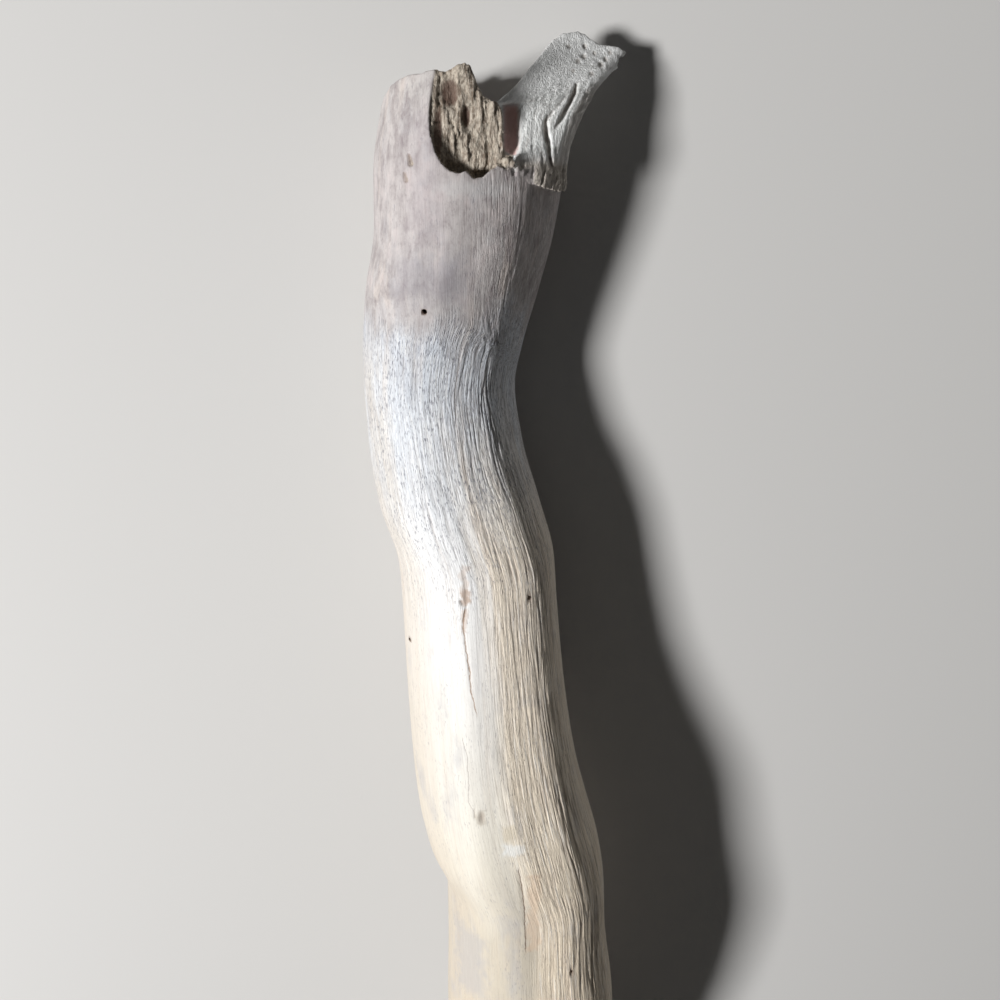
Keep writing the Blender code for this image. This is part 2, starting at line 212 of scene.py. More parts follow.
def grainPlace(x, y, z):  # where a point lies along straight grain; the grain turns sharply at the knuckle
    left, right, under, top = limbEdges(y)
    reach, (upperMiddle, upperHalf), (wide, high) = [limbShape[k] for k in ("kinkReach", "aboveKink", "grainSize")]
    above = np.clip((y - alongLimb("kink", 1, x) + reach) / reach, 0, 1) ** 2
    middle = (left + right) / 2 * (1 - above) + upperMiddle * above
    half = (right - left) / 2 * (1 - above) + upperHalf * above
    return np.stack([(x - middle) / half * wide, y, (z - (under + top) / 2) / (top - under) * high], axis=1)


def threads(points, scale, seed, half):  # 1 along thin lines, where a noise passes through its middle
    return 1 - np.clip(np.abs(grit(points * scale, seed)) / half, 0, 1)


def sideways(g, scale, seed):  # a wandering off the straight grain
    return np.stack([grit(g * scale, seed), 0 * g[:, 1], grit(g * scale, seed + 1)], axis=1)


def combing(g):  # long thin furrows between ridges: 0 on a ridge, 1 at the bottom of a furrow
    g = g + 0.9 * sideways(g, (0.06, 0.025, 0.06), 3) + 0.2 * sideways(g, (0.3, 0.13, 0.3), 11)
    wide = threads(g, (0.7, 0.03, 0.7), 5, 0.16)
    fine = threads(g, (1.15, 0.07, 1.15), 6, 0.28)
    broken = np.clip(0.9 + grit(g * (0.5, 0.1, 0.5), 9), 0.2, 1.3)
    return np.clip((0.8 * wide + 0.6 * fine) * broken, 0, 1.2), g


def combDepth(x, y, z):  # how deep the combed grain is weathered
    u, w = straightened(x, y, z)
    top = smoothStep(0.15, 0.45, w)
    low = smoothStep(58, 46, y)
    knee = low * smoothStep(-12, 12, y)
    start = 0.1 - 0.3 * low - 0.7 * knee
    side = 0.1 + 0.9 * smoothStep(start, start + 0.5, u)
    depth = limbShape["grainDepth"] * side * (0.45 + 0.55 * low) * (0.15 + 0.85 * top)
    crest = np.exp(-(((u - alongLimb("crest", 1, y) + 0.04) / 0.09) ** 2)) * top
    return depth + limbShape["crestDepth"] * crest * (0.3 + 0.7 * low), side, top


def grainRelief(x, y, z):  # height of the weathered grain
    depth, side, top = combDepth(x, y, z)
    furrow, g = combing(grainPlace(x, y, z))
    broad = grit(g * (0.4, 0.02, 0.4), 8)
    return depth * (0.3 - furrow) * 1.6 + 0.07 * side * broad * (0.2 + 0.8 * top)


def modeOf(thing, mode):
    bpy.context.view_layer.objects.active = thing
    bpy.ops.object.mode_set(mode=mode)


def pickOnly(*things):
    for other in bpy.context.view_layer.objects:
        other.select_set(False)
    for thing in things:
        thing.select_set(True)
    bpy.context.view_layer.objects.active = things[0]


def applied(thing, kind, **settings):  # adds one modifier and applies it
    pickOnly(thing)
    made = thing.modifiers.new(kind.lower(), kind)
    for key, value in settings.items():
        setattr(made, key, value)
    bpy.ops.object.modifier_apply(modifier=made.name)


def cornersOf(thing):
    flat = np.empty(len(thing.data.vertices) * 3)
    thing.data.vertices.foreach_get("co", flat)
    return flat.reshape(-1, 3)


def outwardAt(thing):
    flat = np.empty(len(thing.data.vertices) * 3)
    thing.data.vertex_normals.foreach_get("vector", flat)
    return flat.reshape(-1, 3)


def moveCorners(thing, corners):
    thing.data.vertices.foreach_set("co", np.asarray(corners, float).ravel())
    thing.data.update()


def relieved(thing, height):  # moves every corner along its normal
    moveCorners(thing, cornersOf(thing) + outwardAt(thing) * height[:, None])


def selectOnly(thing, kind, wanted):  # in edit mode: the "faces" or "edges" for which wanted(part) holds
    bpy.ops.mesh.select_all(action="DESELECT")
    body = bmesh.from_edit_mesh(thing.data)
    picked = [part for part in getattr(body, kind) if wanted(part)]
    for part in picked:
        part.select = True
    bmesh.update_edit_mesh(thing.data)
    return len(picked)


def tubeAlongY(name, columns, *cuts):  # a cylinder of unit size along Y, cut across into rings
    bpy.ops.mesh.primitive_cylinder_add(vertices=columns, radius=1, depth=1, end_fill_type="NGON")
    tube = bpy.context.object
    tube.name = name
    tube.data.name = name
    tube.data.transform(Matrix.Rotation(math.radians(-90), 4, "X"))
    modeOf(tube, "EDIT")
    for count in cuts:
        selectOnly(tube, "edges", lambda edge: abs(edge.verts[0].co.y - edge.verts[1].co.y) > 0.001)
        bpy.ops.mesh.subdivide(number_cuts=count)
    modeOf(tube, "OBJECT")
    return tube


def facesOut(thing):
    modeOf(thing, "EDIT")
    bpy.ops.mesh.select_all(action="SELECT")
    bpy.ops.mesh.normals_make_consistent(inside=False)
    modeOf(thing, "OBJECT")


def pulledUp(thing, height):  # a flat face or sheet made a block
    modeOf(thing, "EDIT")
    bpy.ops.mesh.select_all(action="SELECT")
    bpy.ops.mesh.extrude_region_move(TRANSFORM_OT_translate={"value": (0, 0, height)})
    modeOf(thing, "OBJECT")
    facesOut(thing)
    return thing


def surfaceOf(thing):
    return BVHTree.FromObject(thing, bpy.context.evaluated_depsgraph_get())


def joined(things):
    pickOnly(*things)
    bpy.ops.object.join()
    return things[0]


endShape = {
    "place": (8.0, -226.5, 20.0),    # middle of the far end's rough break
    "slant": (0.06, 0.09),           # how far it slants to the right and upwards
    "rough": [(2.2, 0.09, 2.0), (1.3, 0.3, 9.0)],    # height, pitch, shift
    "drawnFrom": -190.0,             # the rows past here are drawn to the break
    "edge": (1.8, 2.4),              # how far its edge is rounded: along, inwards
    "heart": (9.0, 19.0),            # middle of the growth rings: x, z
    "rings": (0.22, 2.9),            # how far they stand proud, and how close they are
    # cracks out from the heart: direction in radians, depth
    "cracks": [(0.4, 2.2), (1.9, 1.4), (2.9, 1.8), (4.4, 1.5), (5.3, 1.1)],
    "crackHalf": 0.75,
}


def farBreakY(x, z):  # how far out the break lies
    middleX, middleY, middleZ = endShape["place"]
    right, up = endShape["slant"]
    ragged = sum(height * softNoise(x * pitch, z * pitch, shift) for height, pitch, shift in endShape["rough"])
    return middleY + up * (z - middleZ) - right * (x - middleX) + ragged


def rowPlace(share):  # rows lie closer together where the limb is marked
    y = np.linspace(limbShape["farEnd"], limbShape["seam"], 800)
    passed = np.cumsum(0.62 + 0.38 * smoothStep(-112, -92, y))
    return np.interp(share, (passed - passed[0]) / (passed[-1] - passed[0]), y)


def makeLimb():
    s, e = limbShape, endShape
    limb = tubeAlongY("driftwood", s["columns"], *s["rowCuts"])
    modeOf(limb, "EDIT")
    selectOnly(limb, "faces", lambda face: len(face.verts) > 4 and face.calc_center_median().y > 0)
    bpy.ops.mesh.delete(type="FACE")
    selectOnly(limb, "faces", lambda face: len(face.verts) > 4)
    for ring in range(s["capRings"]):
        bpy.ops.mesh.inset(thickness=1 / (s["capRings"] + 1), depth=0)
    bpy.ops.mesh.poke()
    modeOf(limb, "OBJECT")
    unit = cornersOf(limb)
    share = unit[:, 1] + 0.5  # 0 at the far end, 1 at the seam
    inwards = 1 - np.hypot(unit[:, 0], unit[:, 2])
    onEnd = (share < 0.0001) & (inwards > 0.01)
    turn = np.arctan2(unit[:, 2], unit[:, 0])
    angle = turn + 0.4 * np.cos(turn + 0.6)  # columns lie closer together at the upper right
    y = rowPlace(share)
    x, z = limbSkin(y, angle)
    # the worn end is rounded over, its growth rings stand proud and cracks run out from its heart
    edge, edgeWidth = e["edge"]
    start = e["drawnFrom"]
    rim = farBreakY(x, z) + edge
    y = np.where(y < start, rim + (y - s["farEnd"]) / (start - s["farEnd"]) * (start - rim), y)
    x, z = limbSkin(y, angle)
    heart = e["heart"]
    deep = np.where(onEnd, np.maximum(0, inwards) ** 1.35, 0)
    away = np.hypot(x - heart[0], z - heart[1])
    inner = deep * away
    x = heart[0] + (x - heart[0]) * (1 - deep)
    z = heart[1] + (z - heart[1]) * (1 - deep)
    away = away - inner
    proud, close = e["rings"]
    rings = proud * np.sin(away * close + 2 * softNoise(x * 0.12, z * 0.12, 4.0))
    crack = np.zeros(len(x))
    for crackTurn, crackDepth in e["cracks"]:
        bend = np.arctan2(z - heart[1], x - heart[0]) - crackTurn + 0.22 * softNoise(x * 0.2, z * 0.2, crackTurn)
        bend = np.abs((bend + math.pi) % (2 * math.pi) - math.pi) * away
        narrow = np.clip(1 - bend / e["crackHalf"], 0, 1)
        crack += crackDepth * narrow * smoothStep(0, 3, away) * smoothStep(0, 4, inner)
    over = edge * (1 - np.clip(inner / edgeWidth, 0, 1)) ** 2
    y = np.where(onEnd, farBreakY(x, z) + over + (rings + crack) * smoothStep(0.5, 3, inner), y)
    moveCorners(limb, np.stack([x, y, z], axis=1))
    facesOut(limb)
    return limb


forkShape = {
    # plan of the broken stub and the fork, from the stub's outer wall round to the right of the limb
    "outline": [
        (-40.0, 90.0), (-27.6, 94.0), (-26.6, 97.5), (-24.8, 100.5), (-23.0, 102.4), (-20.6, 103.7),
        (-18.6, 104.2), (-16.3, 104.3), (-13.5, 104.9), (-12.3, 104.7), (-11.0, 104.6), (-9.8, 105.1),
        (-8.6, 106.0), (-7.3, 106.2), (-6.1, 105.7), (-5.4, 104.3), (-4.8, 102.5), (-3.7, 100.5),
        (-1.9, 99.4), (-0.2, 98.9), (0.4, 97.4), (0.6, 94.7), (0.7, 90.7), (0.8, 86.6), (1.6, 84.6), (3.4, 84.2),
        (5.0, 84.4), (9.6, 83.2), (13.5, 82.2), (40.0, 82.0),
    ],
    # lips of the hollow that the stub broke open along
    "leftLip": [(-13.2, 88.9), (-14.4, 93.0), (-14.5, 96.8), (-14.0, 101.1), (-13.4, 104.9), (-13.2, 112.0)],
    "nearLip": [
        (-13.2, 88.9), (-12.0, 86.9), (-10.4, 85.4), (-8.3, 84.9), (-7.0, 85.5), (-5.5, 83.9), (-3.6, 84.1),
        (-2.1, 85.5), (-0.6, 86.2), (1.4, 85.6),
    ],
    "hollowBox": (-13.2, 14.6, 112.0),    # left, width, far end
    "floorLevel": 40.9,
    "fallRight": 0.29,
    "fallOut": 0.1,
    # smooth pockets in its floor, coloured dark brown as painted shade: x, y, reach across, reach along, depth
    "pockets": [(-10.4, 100.6, 1.9, 2.9, 1.1), (-7.0, 95.9, 0.9, 2.3, 1.0), (-12.8, 92.5, 0.9, 5.0, 0.5)],
    "from": 62.0,
    "length": 53.0,
    "columns": 150,
    "rowCuts": 70,
    "cutLevels": (-20, 90),    # the blocks that cut the outlines reach from and to here
    "grain": 0.3,              # remesh size
    "faces": 47000,
    "stringDepth": 0.5,        # how rough the hollow's floor is
    "crumbDepth": 0.34,
    "endCrumbDepth": 0.28,
    "endFall": 1.1,            # how far its end face is hollowed
    # crumbled knobs at the fork: x, y, z, radius, stretch along y
    "knobs": [
        (1.2, 87.2, 38.5, 1.05, 1.0), (2.3, 86.9, 38.2, 0.85, 1.1), (1.7, 88.1, 37.8, 0.85, 0.8),
        (1.6, 85.3, 38.4, 0.8, 2.0), (3.7, 85.3, 37.5, 0.75, 1.8), (4.7, 84.7, 36.9, 0.75, 1.5),
        (-0.4, 85.5, 38.9, 1.3, 1.1),
    ],
}


def roughLine(points, pitch, rough, seed):  # an outline with more points, a little crumbled
    line = []
    for (ax, ay), (bx, by) in zip(points, points[1:]):
        count = max(1, round(math.hypot(bx - ax, by - ay) / pitch))
        line += [(ax + (bx - ax) * k / count, ay + (by - ay) * k / count) for k in range(count)]
    line.append(points[-1])
    line = np.array(line)
    place = np.column_stack([line[:, 0], line[:, 1], np.full(len(line), seed)])
    line[:, 0] += rough * grit(place * 0.9, seed) + 0.5 * rough * grit(place * 2.2, seed + 1)
    line[:, 1] += rough * grit(place * 0.9, seed + 2) + 0.5 * rough * grit(place * 2.2, seed + 3)
    return line


def blockFrom(name, outline):  # a flat outline pulled up into a block
    low, high = forkShape["cutLevels"]
    bpy.ops.mesh.primitive_circle_add(vertices=len(outline), radius=1, fill_type="NGON")
    block = bpy.context.object
    block.name = name
    moveCorners(block, np.column_stack([outline, np.full(len(outline), low)]))
    return pulledUp(block, high - low)


def takeAway(thing, cutter):
    applied(thing, "BOOLEAN", operation="DIFFERENCE", solver="EXACT", object=cutter)
    bpy.data.objects.remove(cutter)


def ellipse(x, y, middleX, middleY, wide, long):  # squared distance from its middle, 1 on its edge
    return ((x - middleX) / wide) ** 2 + ((y - middleY) / long) ** 2


def nearLipY(x):
    return np.interp(x, *zip(*forkShape["nearLip"]))


def leftLipX(y):
    across, along = zip(*forkShape["leftLip"])
    return np.interp(y, along, across)


def hollowFloor(x, y):  # level of the stringy floor of the stub's hollow
    s = forkShape
    fromLip = x - leftLipX(y)
    level = s["floorLevel"] - s["fallRight"] * (x + 14) - s["fallOut"] * (y - 88)
    level += (1.0 - 1.4 * smoothStep(0, 3.0, fromLip)) * smoothStep(98, 92, y)
    level -= 1.2 * (1 - smoothStep(0.4, 2.4, y - nearLipY(x))) * smoothStep(-12.6, -10.5, x) * smoothStep(-1.5, -4, x)
    level += 0.7 * softNoise(x * 0.5, y * 0.06, 1.0) + 0.5 * softNoise(x, y * 0.12, 5.0)
    # a lump at its outer end, a rib along the fork and a crack beside the rib
    level += 1.8 * np.exp(-ellipse(x, y, -7.4, 105.0, 2.2, 1.9))
    level += 0.7 * np.exp(-(((x - 0.4) / 0.8) ** 2)) * smoothStep(86, 88, y) * smoothStep(98.5, 96, y)
    level -= 1.4 * np.exp(-(((x + 0.45) / 0.32) ** 2)) * smoothStep(92, 93.5, y) * smoothStep(99.5, 97.5, y)
    for *pocket, deep in s["pockets"]:
        level -= deep * np.exp(-(ellipse(x, y, *pocket) ** 1.5))
    return level


def makeHollowCutter():
    bpy.ops.mesh.primitive_grid_add(x_subdivisions=70, y_subdivisions=90, size=1)
    cutter = bpy.context.object
    left, wide, far = forkShape["hollowBox"]
    flat = cornersOf(cutter)
    u, v = flat[:, 0] + 0.5, flat[:, 1] + 0.5
    x = left + u * wide
    start = nearLipY(x)
    y = start + v * (far - start)
    x = x + (leftLipX(y) - left) * (1 - u)
    moveCorners(cutter, np.column_stack([x, y, hollowFloor(x, y)]))
    return pulledUp(cutter, 30)    # well clear of the stub's top


prongShape = {
    # left edge, right edge, hollow of the inner face, depth below it
    "sections": [
        ((-9.0, 77.0, 33.0), (14.8, 76.5, 27.0), -4.0, 26.0),
        ((-9.0, 81.0, 35.0), (14.7, 80.6, 28.4), -4.8, 28.0),
        ((-9.0, 84.4, 36.5), (14.6, 84.0, 29.6), -4.8, 29.0),
        ((-8.0, 88.0, 35.8), (15.0, 87.5, 29.6), -3.6, 28.0),
        ((-7.0, 91.0, 34.5), (15.5, 90.5, 29.4), -1.4, 26.5),
        ((-2.6, 97.6, 32.6), (18.4, 97.4, 26.8), 0.3, 20.5),
        ((0.6, 100.4, 29.8), (19.8, 99.8, 25.2), 0.7, 17.5),
        ((3.2, 102.8, 27.0), (21.1, 101.9, 23.2), 1.0, 15.0),
        ((7.4, 107.8, 21.4), (25.0, 106.3, 18.0), 1.3, 10.5),
        ((11.2, 112.4, 16.4), (28.6, 109.2, 12.8), 1.0, 6.3),
        ((16.0, 118.0, 12.6), (31.0, 113.0, 9.4), 0.8, 3.6),
    ],
    "columns": 180,
    "rowCuts": (84, 1),
    "ribDepth": 0.45,
    "fibreDepth": 0.32,
    "pitDepth": 1.1,      # as a share of a pit's radius
    "edge": 1.3,          # thickness of its thin sides
    "shellFrom": 0.78,    # share of the width where the outer shell starts to fall away
    "shellDrop": 2.6,
    "crevice": (2.4, 1.45, 2.0),    # x, half width, depth of the dark slot beside the stub
    "creviceEnds": ((86.8, 0.4), (97.8, 0.35)),    # y, softness
    "lean": [(78, 3.0), (97, 8.0), (107, 16.5), (113, 21.5)],    # a fibre's run along the face: y, x
    "rightEdge": [(84, 14.6), (91, 15.5), (98, 18.4), (102, 21.1), (106, 25.0)],    # y, x
    # outline of what is cut off at its foot
    "root": [
        (-3.0, 130.0), (-3.0, 99.6), (0.0, 98.6), (0.2, 88.0), (0.8, 86.0), (2.6, 84.4), (4.8, 83.8), (8.6, 82.3),
        (11.9, 80.9), (13.4, 81.2), (40.0, 81.0), (40.0, 60.0), (-40.0, 60.0), (-40.0, 130.0),
    ],
    # outline of what is broken off its tip
    "tip": [
        (4.0, 112.0), (12.4, 113.4), (13.9, 114.5), (17.3, 115.1), (19.4, 114.7), (20.1, 113.9), (22.2, 112.7),
        (24.5, 112.4), (26.8, 112.2), (28.9, 111.3), (28.2, 110.3), (26.4, 110.4), (27.2, 109.2), (26.0, 108.0),
        (40.0, 104.0), (40.0, 130.0), (4.0, 130.0),
    ],
    # fissures in the inner face: x, y, half width, depth
    "fissures": [
        [(17.0, 104.3, 0.2, 0.6), (16.3, 101.6, 0.6, 3.0), (15.0, 99.2, 0.55, 3.0), (13.4, 96.6, 0.5, 2.8),
         (11.2, 93.2, 0.2, 0.6)],
        [(15.4, 102.2, 0.15, 0.4), (13.6, 100.0, 0.3, 1.0), (11.6, 97.8, 0.35, 1.2), (9.8, 95.6, 0.45, 2.0),
         (9.8, 93.6, 0.6, 2.8), (10.3, 91.0, 0.65, 2.8), (10.6, 88.2, 0.45, 2.2), (11.6, 85.6, 0.3, 1.2)],
    ],
    # x, y, radius
    "pits": [
        (18.8, 109.7, 0.5), (17.4, 108.7, 0.4), (22.6, 108.0, 0.6), (20.3, 105.8, 0.45), (19.1, 112.0, 0.45),
        (15.3, 111.8, 0.35), (23.8, 109.3, 0.5), (21.3, 110.6, 0.35), (16.2, 106.4, 0.3), (24.9, 110.8, 0.35),
    ],
}


def alongLine(x, y, line):  # how deep a tapering furrow along a line reaches at x, y
    deep = np.zeros(len(x))
    for (ax, ay, aw, ad), (bx, by, bw, bd) in zip(line, line[1:]):
        length = (bx - ax) ** 2 + (by - ay) ** 2
        t = np.clip(((x - ax) * (bx - ax) + (y - ay) * (by - ay)) / length, 0, 1)
        gap = np.hypot(x - ax - t * (bx - ax), y - ay - t * (by - ay))
        half = aw + t * (bw - aw)
        deep = np.maximum(deep, (ad + t * (bd - ad)) * (1 - smoothStep(0.25, 1.15, gap / half)))
    return deep


def prongEdges(s):  # left and right edge, hollow and depth at a place along the prong's sections
    rows = prongShape["sections"]
    places = list(range(len(rows)))
    left, right = [[curveThrough(places, [row[side][k] for row in rows], s) for k in range(3)] for side in (0, 1)]
    hollow, depth = [curveThrough(places, [row[k] for row in rows], s) for k in (2, 3)]
    return left, right, hollow, depth


def prongLine(name, y):  # x of a line along the prong
    return np.interp(y, *zip(*prongShape[name]))


def makeProng():
    p = prongShape
    prong = tubeAlongY("prong", p["columns"], *p["rowCuts"])
    unit = cornersOf(prong)
    s = (unit[:, 1] + 0.5) * (len(p["sections"]) - 1)
    turn = np.arctan2(unit[:, 2], unit[:, 0])
    upper = np.sin(turn) >= 0
    u = (1 + np.cos(turn)) / 2
    left, right, hollow, depth = prongEdges(s)
    x, y, z = [a + (b - a) * u for a, b in zip(left, right)]
    slotX, slotHalf, slotDepth = p["crevice"]
    (low, lowSoft), (high, highSoft) = p["creviceEnds"]
    near = np.exp(-(((x - slotX) / slotHalf) ** 4))
    window = 1 / (1 + np.exp((y - high) / highSoft)) / (1 + np.exp((low - y) / lowSoft))
    dip = hollow * np.sin(math.pi * u) + slotDepth * near * window
    dip += p["shellDrop"] * np.maximum(0, (u - p["shellFrom"]) / (1 - p["shellFrom"])) ** 2
    for line in p["fissures"]:
        dip += alongLine(x, y, line)
    for px, py, size in p["pits"]:
        dip += p["pitDepth"] * size * (1 - smoothStep(0.5, 1.3, np.hypot((x - px), (y - py) * 0.8) / size))
    # the smooth plane above the slot lies lower
    dip += 0.7 * smoothStep(-0.4, 0.4, y - 99.0 - 0.2 * (x - 0.5)) * smoothStep(13, 2, x) * smoothStep(110, 100, y)
    belly = (1 - np.abs(2 * u - 1) ** 2.6) ** (1 / 2.2)
    rim = p["shellDrop"] * u ** 6
    below = p["edge"] + rim + (depth - p["edge"] - rim) * belly
    moveCorners(prong, np.column_stack([x, y, np.where(upper, z - dip, z - below)]))
    facesOut(prong)
    takeAway(prong, blockFrom("prongRoot", roughLine(p["root"], 0.8, 0.15, 31)))
    takeAway(prong, blockFrom("prongTip", roughLine(p["tip"], 0.5, 0.22, 37)))
    return prong


def nearness(tree, points):  # how far each point lies from a surface
    return np.array([tree.find_nearest(point)[3] for point in points])


def makeForkEnd():
    s = forkShape
    fork = tubeAlongY("forkEnd", s["columns"], s["rowCuts"])
    unit = cornersOf(fork)
    y = s["from"] + (unit[:, 1] + 0.5) * s["length"]
    x, z = limbSkin(y, np.arctan2(unit[:, 2], unit[:, 0]))
    moveCorners(fork, np.column_stack([x, y, z]))
    facesOut(fork)
    skinTree = surfaceOf(fork)
    beyond = np.vstack([roughLine(s["outline"], 0.5, 0.22, 21), [(40, 130), (-40, 130)]])
    takeAway(fork, blockFrom("beyondFork", beyond))
    takeAway(fork, makeHollowCutter())
    prong = makeProng()
    prongTree = surfaceOf(prong)
    lumps = []
    for kx, ky, kz, radius, stretch in s["knobs"]:
        bpy.ops.mesh.primitive_ico_sphere_add(subdivisions=3, radius=radius)
        lump = bpy.context.object
        lump.data.transform(Matrix.Translation((kx, ky, kz)) @ Matrix.Diagonal((1, stretch, 1, 1)))
        relieved(lump, 0.4 * grit(cornersOf(lump) * 0.9, 23) + 0.2 * grit(cornersOf(lump) * 1.9, 24))
        lumps.append(lump)
    fork = joined([fork, prong] + lumps)
    applied(fork, "REMESH", mode="VOXEL", voxel_size=s["grain"], adaptivity=0)
    applied(fork, "SMOOTH", factor=0.5, iterations=2)
    return fork, skinTree, prongTree


def stillSkin(c, skinTree, near, far):  # 1 where the weathered skin is still on the wood
    x, y, z = c.T
    there = 1 - smoothStep(near, far, nearness(skinTree, c))
    inHollow = smoothStep(0, 0.4, x - leftLipX(y)) * smoothStep(0, 0.4, y - nearLipY(x))
    inHollow = inHollow * (x < 1.4) * (z > limbShape["topFrom"])
    return there * (1 - inHollow) * (1 - smoothStep(85, 87, y) * (x > 1))


def forkRelief(fork, skinTree, prongTree):  # strings, crumbs, fibres and furrows of the fork end
    s, p = forkShape, prongShape
    c = cornersOf(fork)
    x, y, z = c.T
    out = outwardAt(fork)
    skin = stillSkin(c, skinTree, 0.2, 0.6)
    face = (1 - skin) * (1 - smoothStep(0.3, 0.8, nearness(prongTree, c)))
    torn = 1 - skin - face
    # the hollow's floor is stringy along the limb, its walls and ends crumble
    floor = torn * smoothStep(0.2, 0.5, out[:, 2])
    string = np.stack([x + 0.9 * grit(c * (0.25, 0.09, 0.25), 41), y, z * 0.6], axis=1)
    strings = 0.55 * threads(string, (0.8, 0.09, 1), 42, 0.5) + 0.6 * threads(string, (1.7, 0.2, 1), 43, 0.6)
    smoothPart = np.zeros(len(x))
    for *pocket, deep in s["pockets"]:
        smoothPart = np.maximum(smoothPart, np.exp(-(ellipse(x, y, *pocket) ** 2)))
    crumbs = 0.6 * grit(c * 0.9, 44) + 0.5 * grit(c * 2.0, 45)
    height = skin * grainRelief(x, y, z)
    height += floor * (s["stringDepth"] * (0.4 - strings) + s["crumbDepth"] * crumbs) * (1 - 0.85 * smoothPart)
    height += (torn - floor) * s["endCrumbDepth"] * crumbs
    wall = (torn - floor) * smoothStep(0.3, 0.6, out[:, 1]) * smoothStep(37, 27, z)
    height -= wall * (s["endFall"] + 1.0 * grit(c * (0.22, 0.22, 0.13), 52) + 0.5 * grit(c * (0.5, 0.5, 0.3), 53))
    # the prong's face is fibrous along its lean and pitted towards the tip
    fibre = np.stack([x - prongLine("lean", y) + 0.5 * grit(c * (0.25, 0.1, 0.25), 48), y, z * 0.4], axis=1)
    fibres = 0.7 * threads(fibre, (0.8, 0.06, 1), 46, 0.5) + 0.4 * threads(fibre, (1.5, 0.14, 1), 47, 0.6)
    rim = smoothStep(88.5, 84.5, y) * smoothStep(3, 5, x)
    ribs = threads(np.stack([x - 0.15 * (y - 84), y * 0.1, 0 * z], axis=1), (0.7, 1, 1), 49, 0.5)
    height -= face * rim * (p["ribDepth"] * (ribs - 0.4) + 0.4 * crumbs)
    tip = smoothStep(101, 108, y)
    plane = smoothStep(0, 2.5, y - 99.5 - 0.35 * (x - 2)) * (1 - tip)
    fibres = p["fibreDepth"] * (0.4 - fibres) * (1 - 0.7 * tip) * (1 - 0.7 * plane)
    height += face * (fibres + (0.06 + 0.12 * tip) * crumbs)
    height -= skin * furrowed(x, y) * (z > limbShape["topFrom"]) * (y < 95)
    relieved(fork, height)


marks = {
    # x, y, bore: insect holes straight down into the top, and how deep they are
    "holes": [(-16.4, 56.4, 0.62), (7.0, -11.9, 0.52), (-22.5, -26.1, 0.4), (17.8, -104.6, 0.5)],
    "holeDepth": 7.0,
    # furrows: x, y, half width, depth
    "furrows": {
        "scar": [
            (-8.9, -2.8, 0.6, 0.05), (-8.1, -7.5, 0.8, 0.2), (-8.0, -11.1, 0.7, 0.3), (-8.1, -13.5, 0.4, 0.25),
            (-8.8, -17.2, 0.4, 0.16), (-8.1, -23.3, 0.4, 0.16), (-7.4, -27.6, 0.4, 0.22), (-7.0, -33.0, 0.3, 0.1),
        ],
        "chip": [(-9.3, -11.6, 0.5, 0.5), (-8.9, -12.4, 0.5, 0.5)],
        "knotSlit": [(-6.2, -61.6, 0.2, 0.2), (-6.1, -63.6, 0.25, 0.25)],
        "crack": [
            (4.4, -75.4, 0.3, 0.1), (4.9, -78.5, 0.4, 0.3), (5.5, -81.9, 0.4, 0.35), (5.9, -85.7, 0.4, 0.25),
            (6.1, -89.9, 0.3, 0.1),
        ],
        "upperDent": [(-18.9, 88.4, 0.5, 0.5), (-18.6, 86.8, 0.7, 0.7)],
        "lowerDent": [(-20.0, 84.9, 0.4, 0.5), (-19.7, 83.5, 0.6, 0.6)],
    },
    "knot": (-4.4, -63.4, 0.65, 1.2, 0.3),   # x, y, half width, half length, depth
    # low ridges: x, y, half width, height as a negative depth
    "ridge": [(0.7, -54.0, 0.6, 0.0), (3.4, -64.0, 0.9, 0.2), (6.1, -75.4, 0.6, 0.0)],
    # stretches of the limb that are made finer: left, right, low, high, rows for one
    "finer": [(-11, -4, -45, 1, 4), (-8, -1, -68, -58, 4), (2, 8, -92, -73, 4), (-30, 6, 26, 62, 2)],
}


def furrowed(x, y):  # depth of all the furrows at x, y
    deep = np.zeros(len(x))
    for line in marks["furrows"].values():
        deep = np.maximum(deep, alongLine(x, y, line))
    *knot, depth = marks["knot"]
    return deep + depth * np.exp(-(ellipse(x, y, *knot) ** 1.5))


def makeFiner(thing):  # more rows where the limb is marked
    modeOf(thing, "EDIT")
    for left, right, low, high, rows in marks["finer"]:

        def lengthwise(edge):  # on the top, within the stretch
            a, b = edge.verts[0].co, edge.verts[1].co
            within = left < a.x < right and low < a.y < high and low < b.y < high
            return abs(a.y - b.y) > 1 and within and a.z > limbShape["topFrom"]

        selectOnly(thing, "edges", lengthwise)
        bpy.ops.mesh.subdivide(number_cuts=rows - 1)
    modeOf(thing, "OBJECT")


def drillHoles(thing):
    drills = []
    for x, y, bore in marks["holes"]:
        bpy.ops.mesh.primitive_cylinder_add(vertices=18, radius=bore, depth=60, location=(x, y, 0))
        drill = bpy.context.object
        bpy.ops.object.transform_apply(location=True, rotation=True, scale=True)
        drills.append(drill)
    tops = surfaceOf(thing)
    for drill, (x, y, bore) in zip(drills, marks["holes"]):
        top = tops.ray_cast(Vector((x, y, 100)), Vector((0, 0, -1)))[0].z
        drill.data.transform(Matrix.Translation((0, 0, top - marks["holeDepth"] + 30)))
    takeAway(thing, joined(drills))


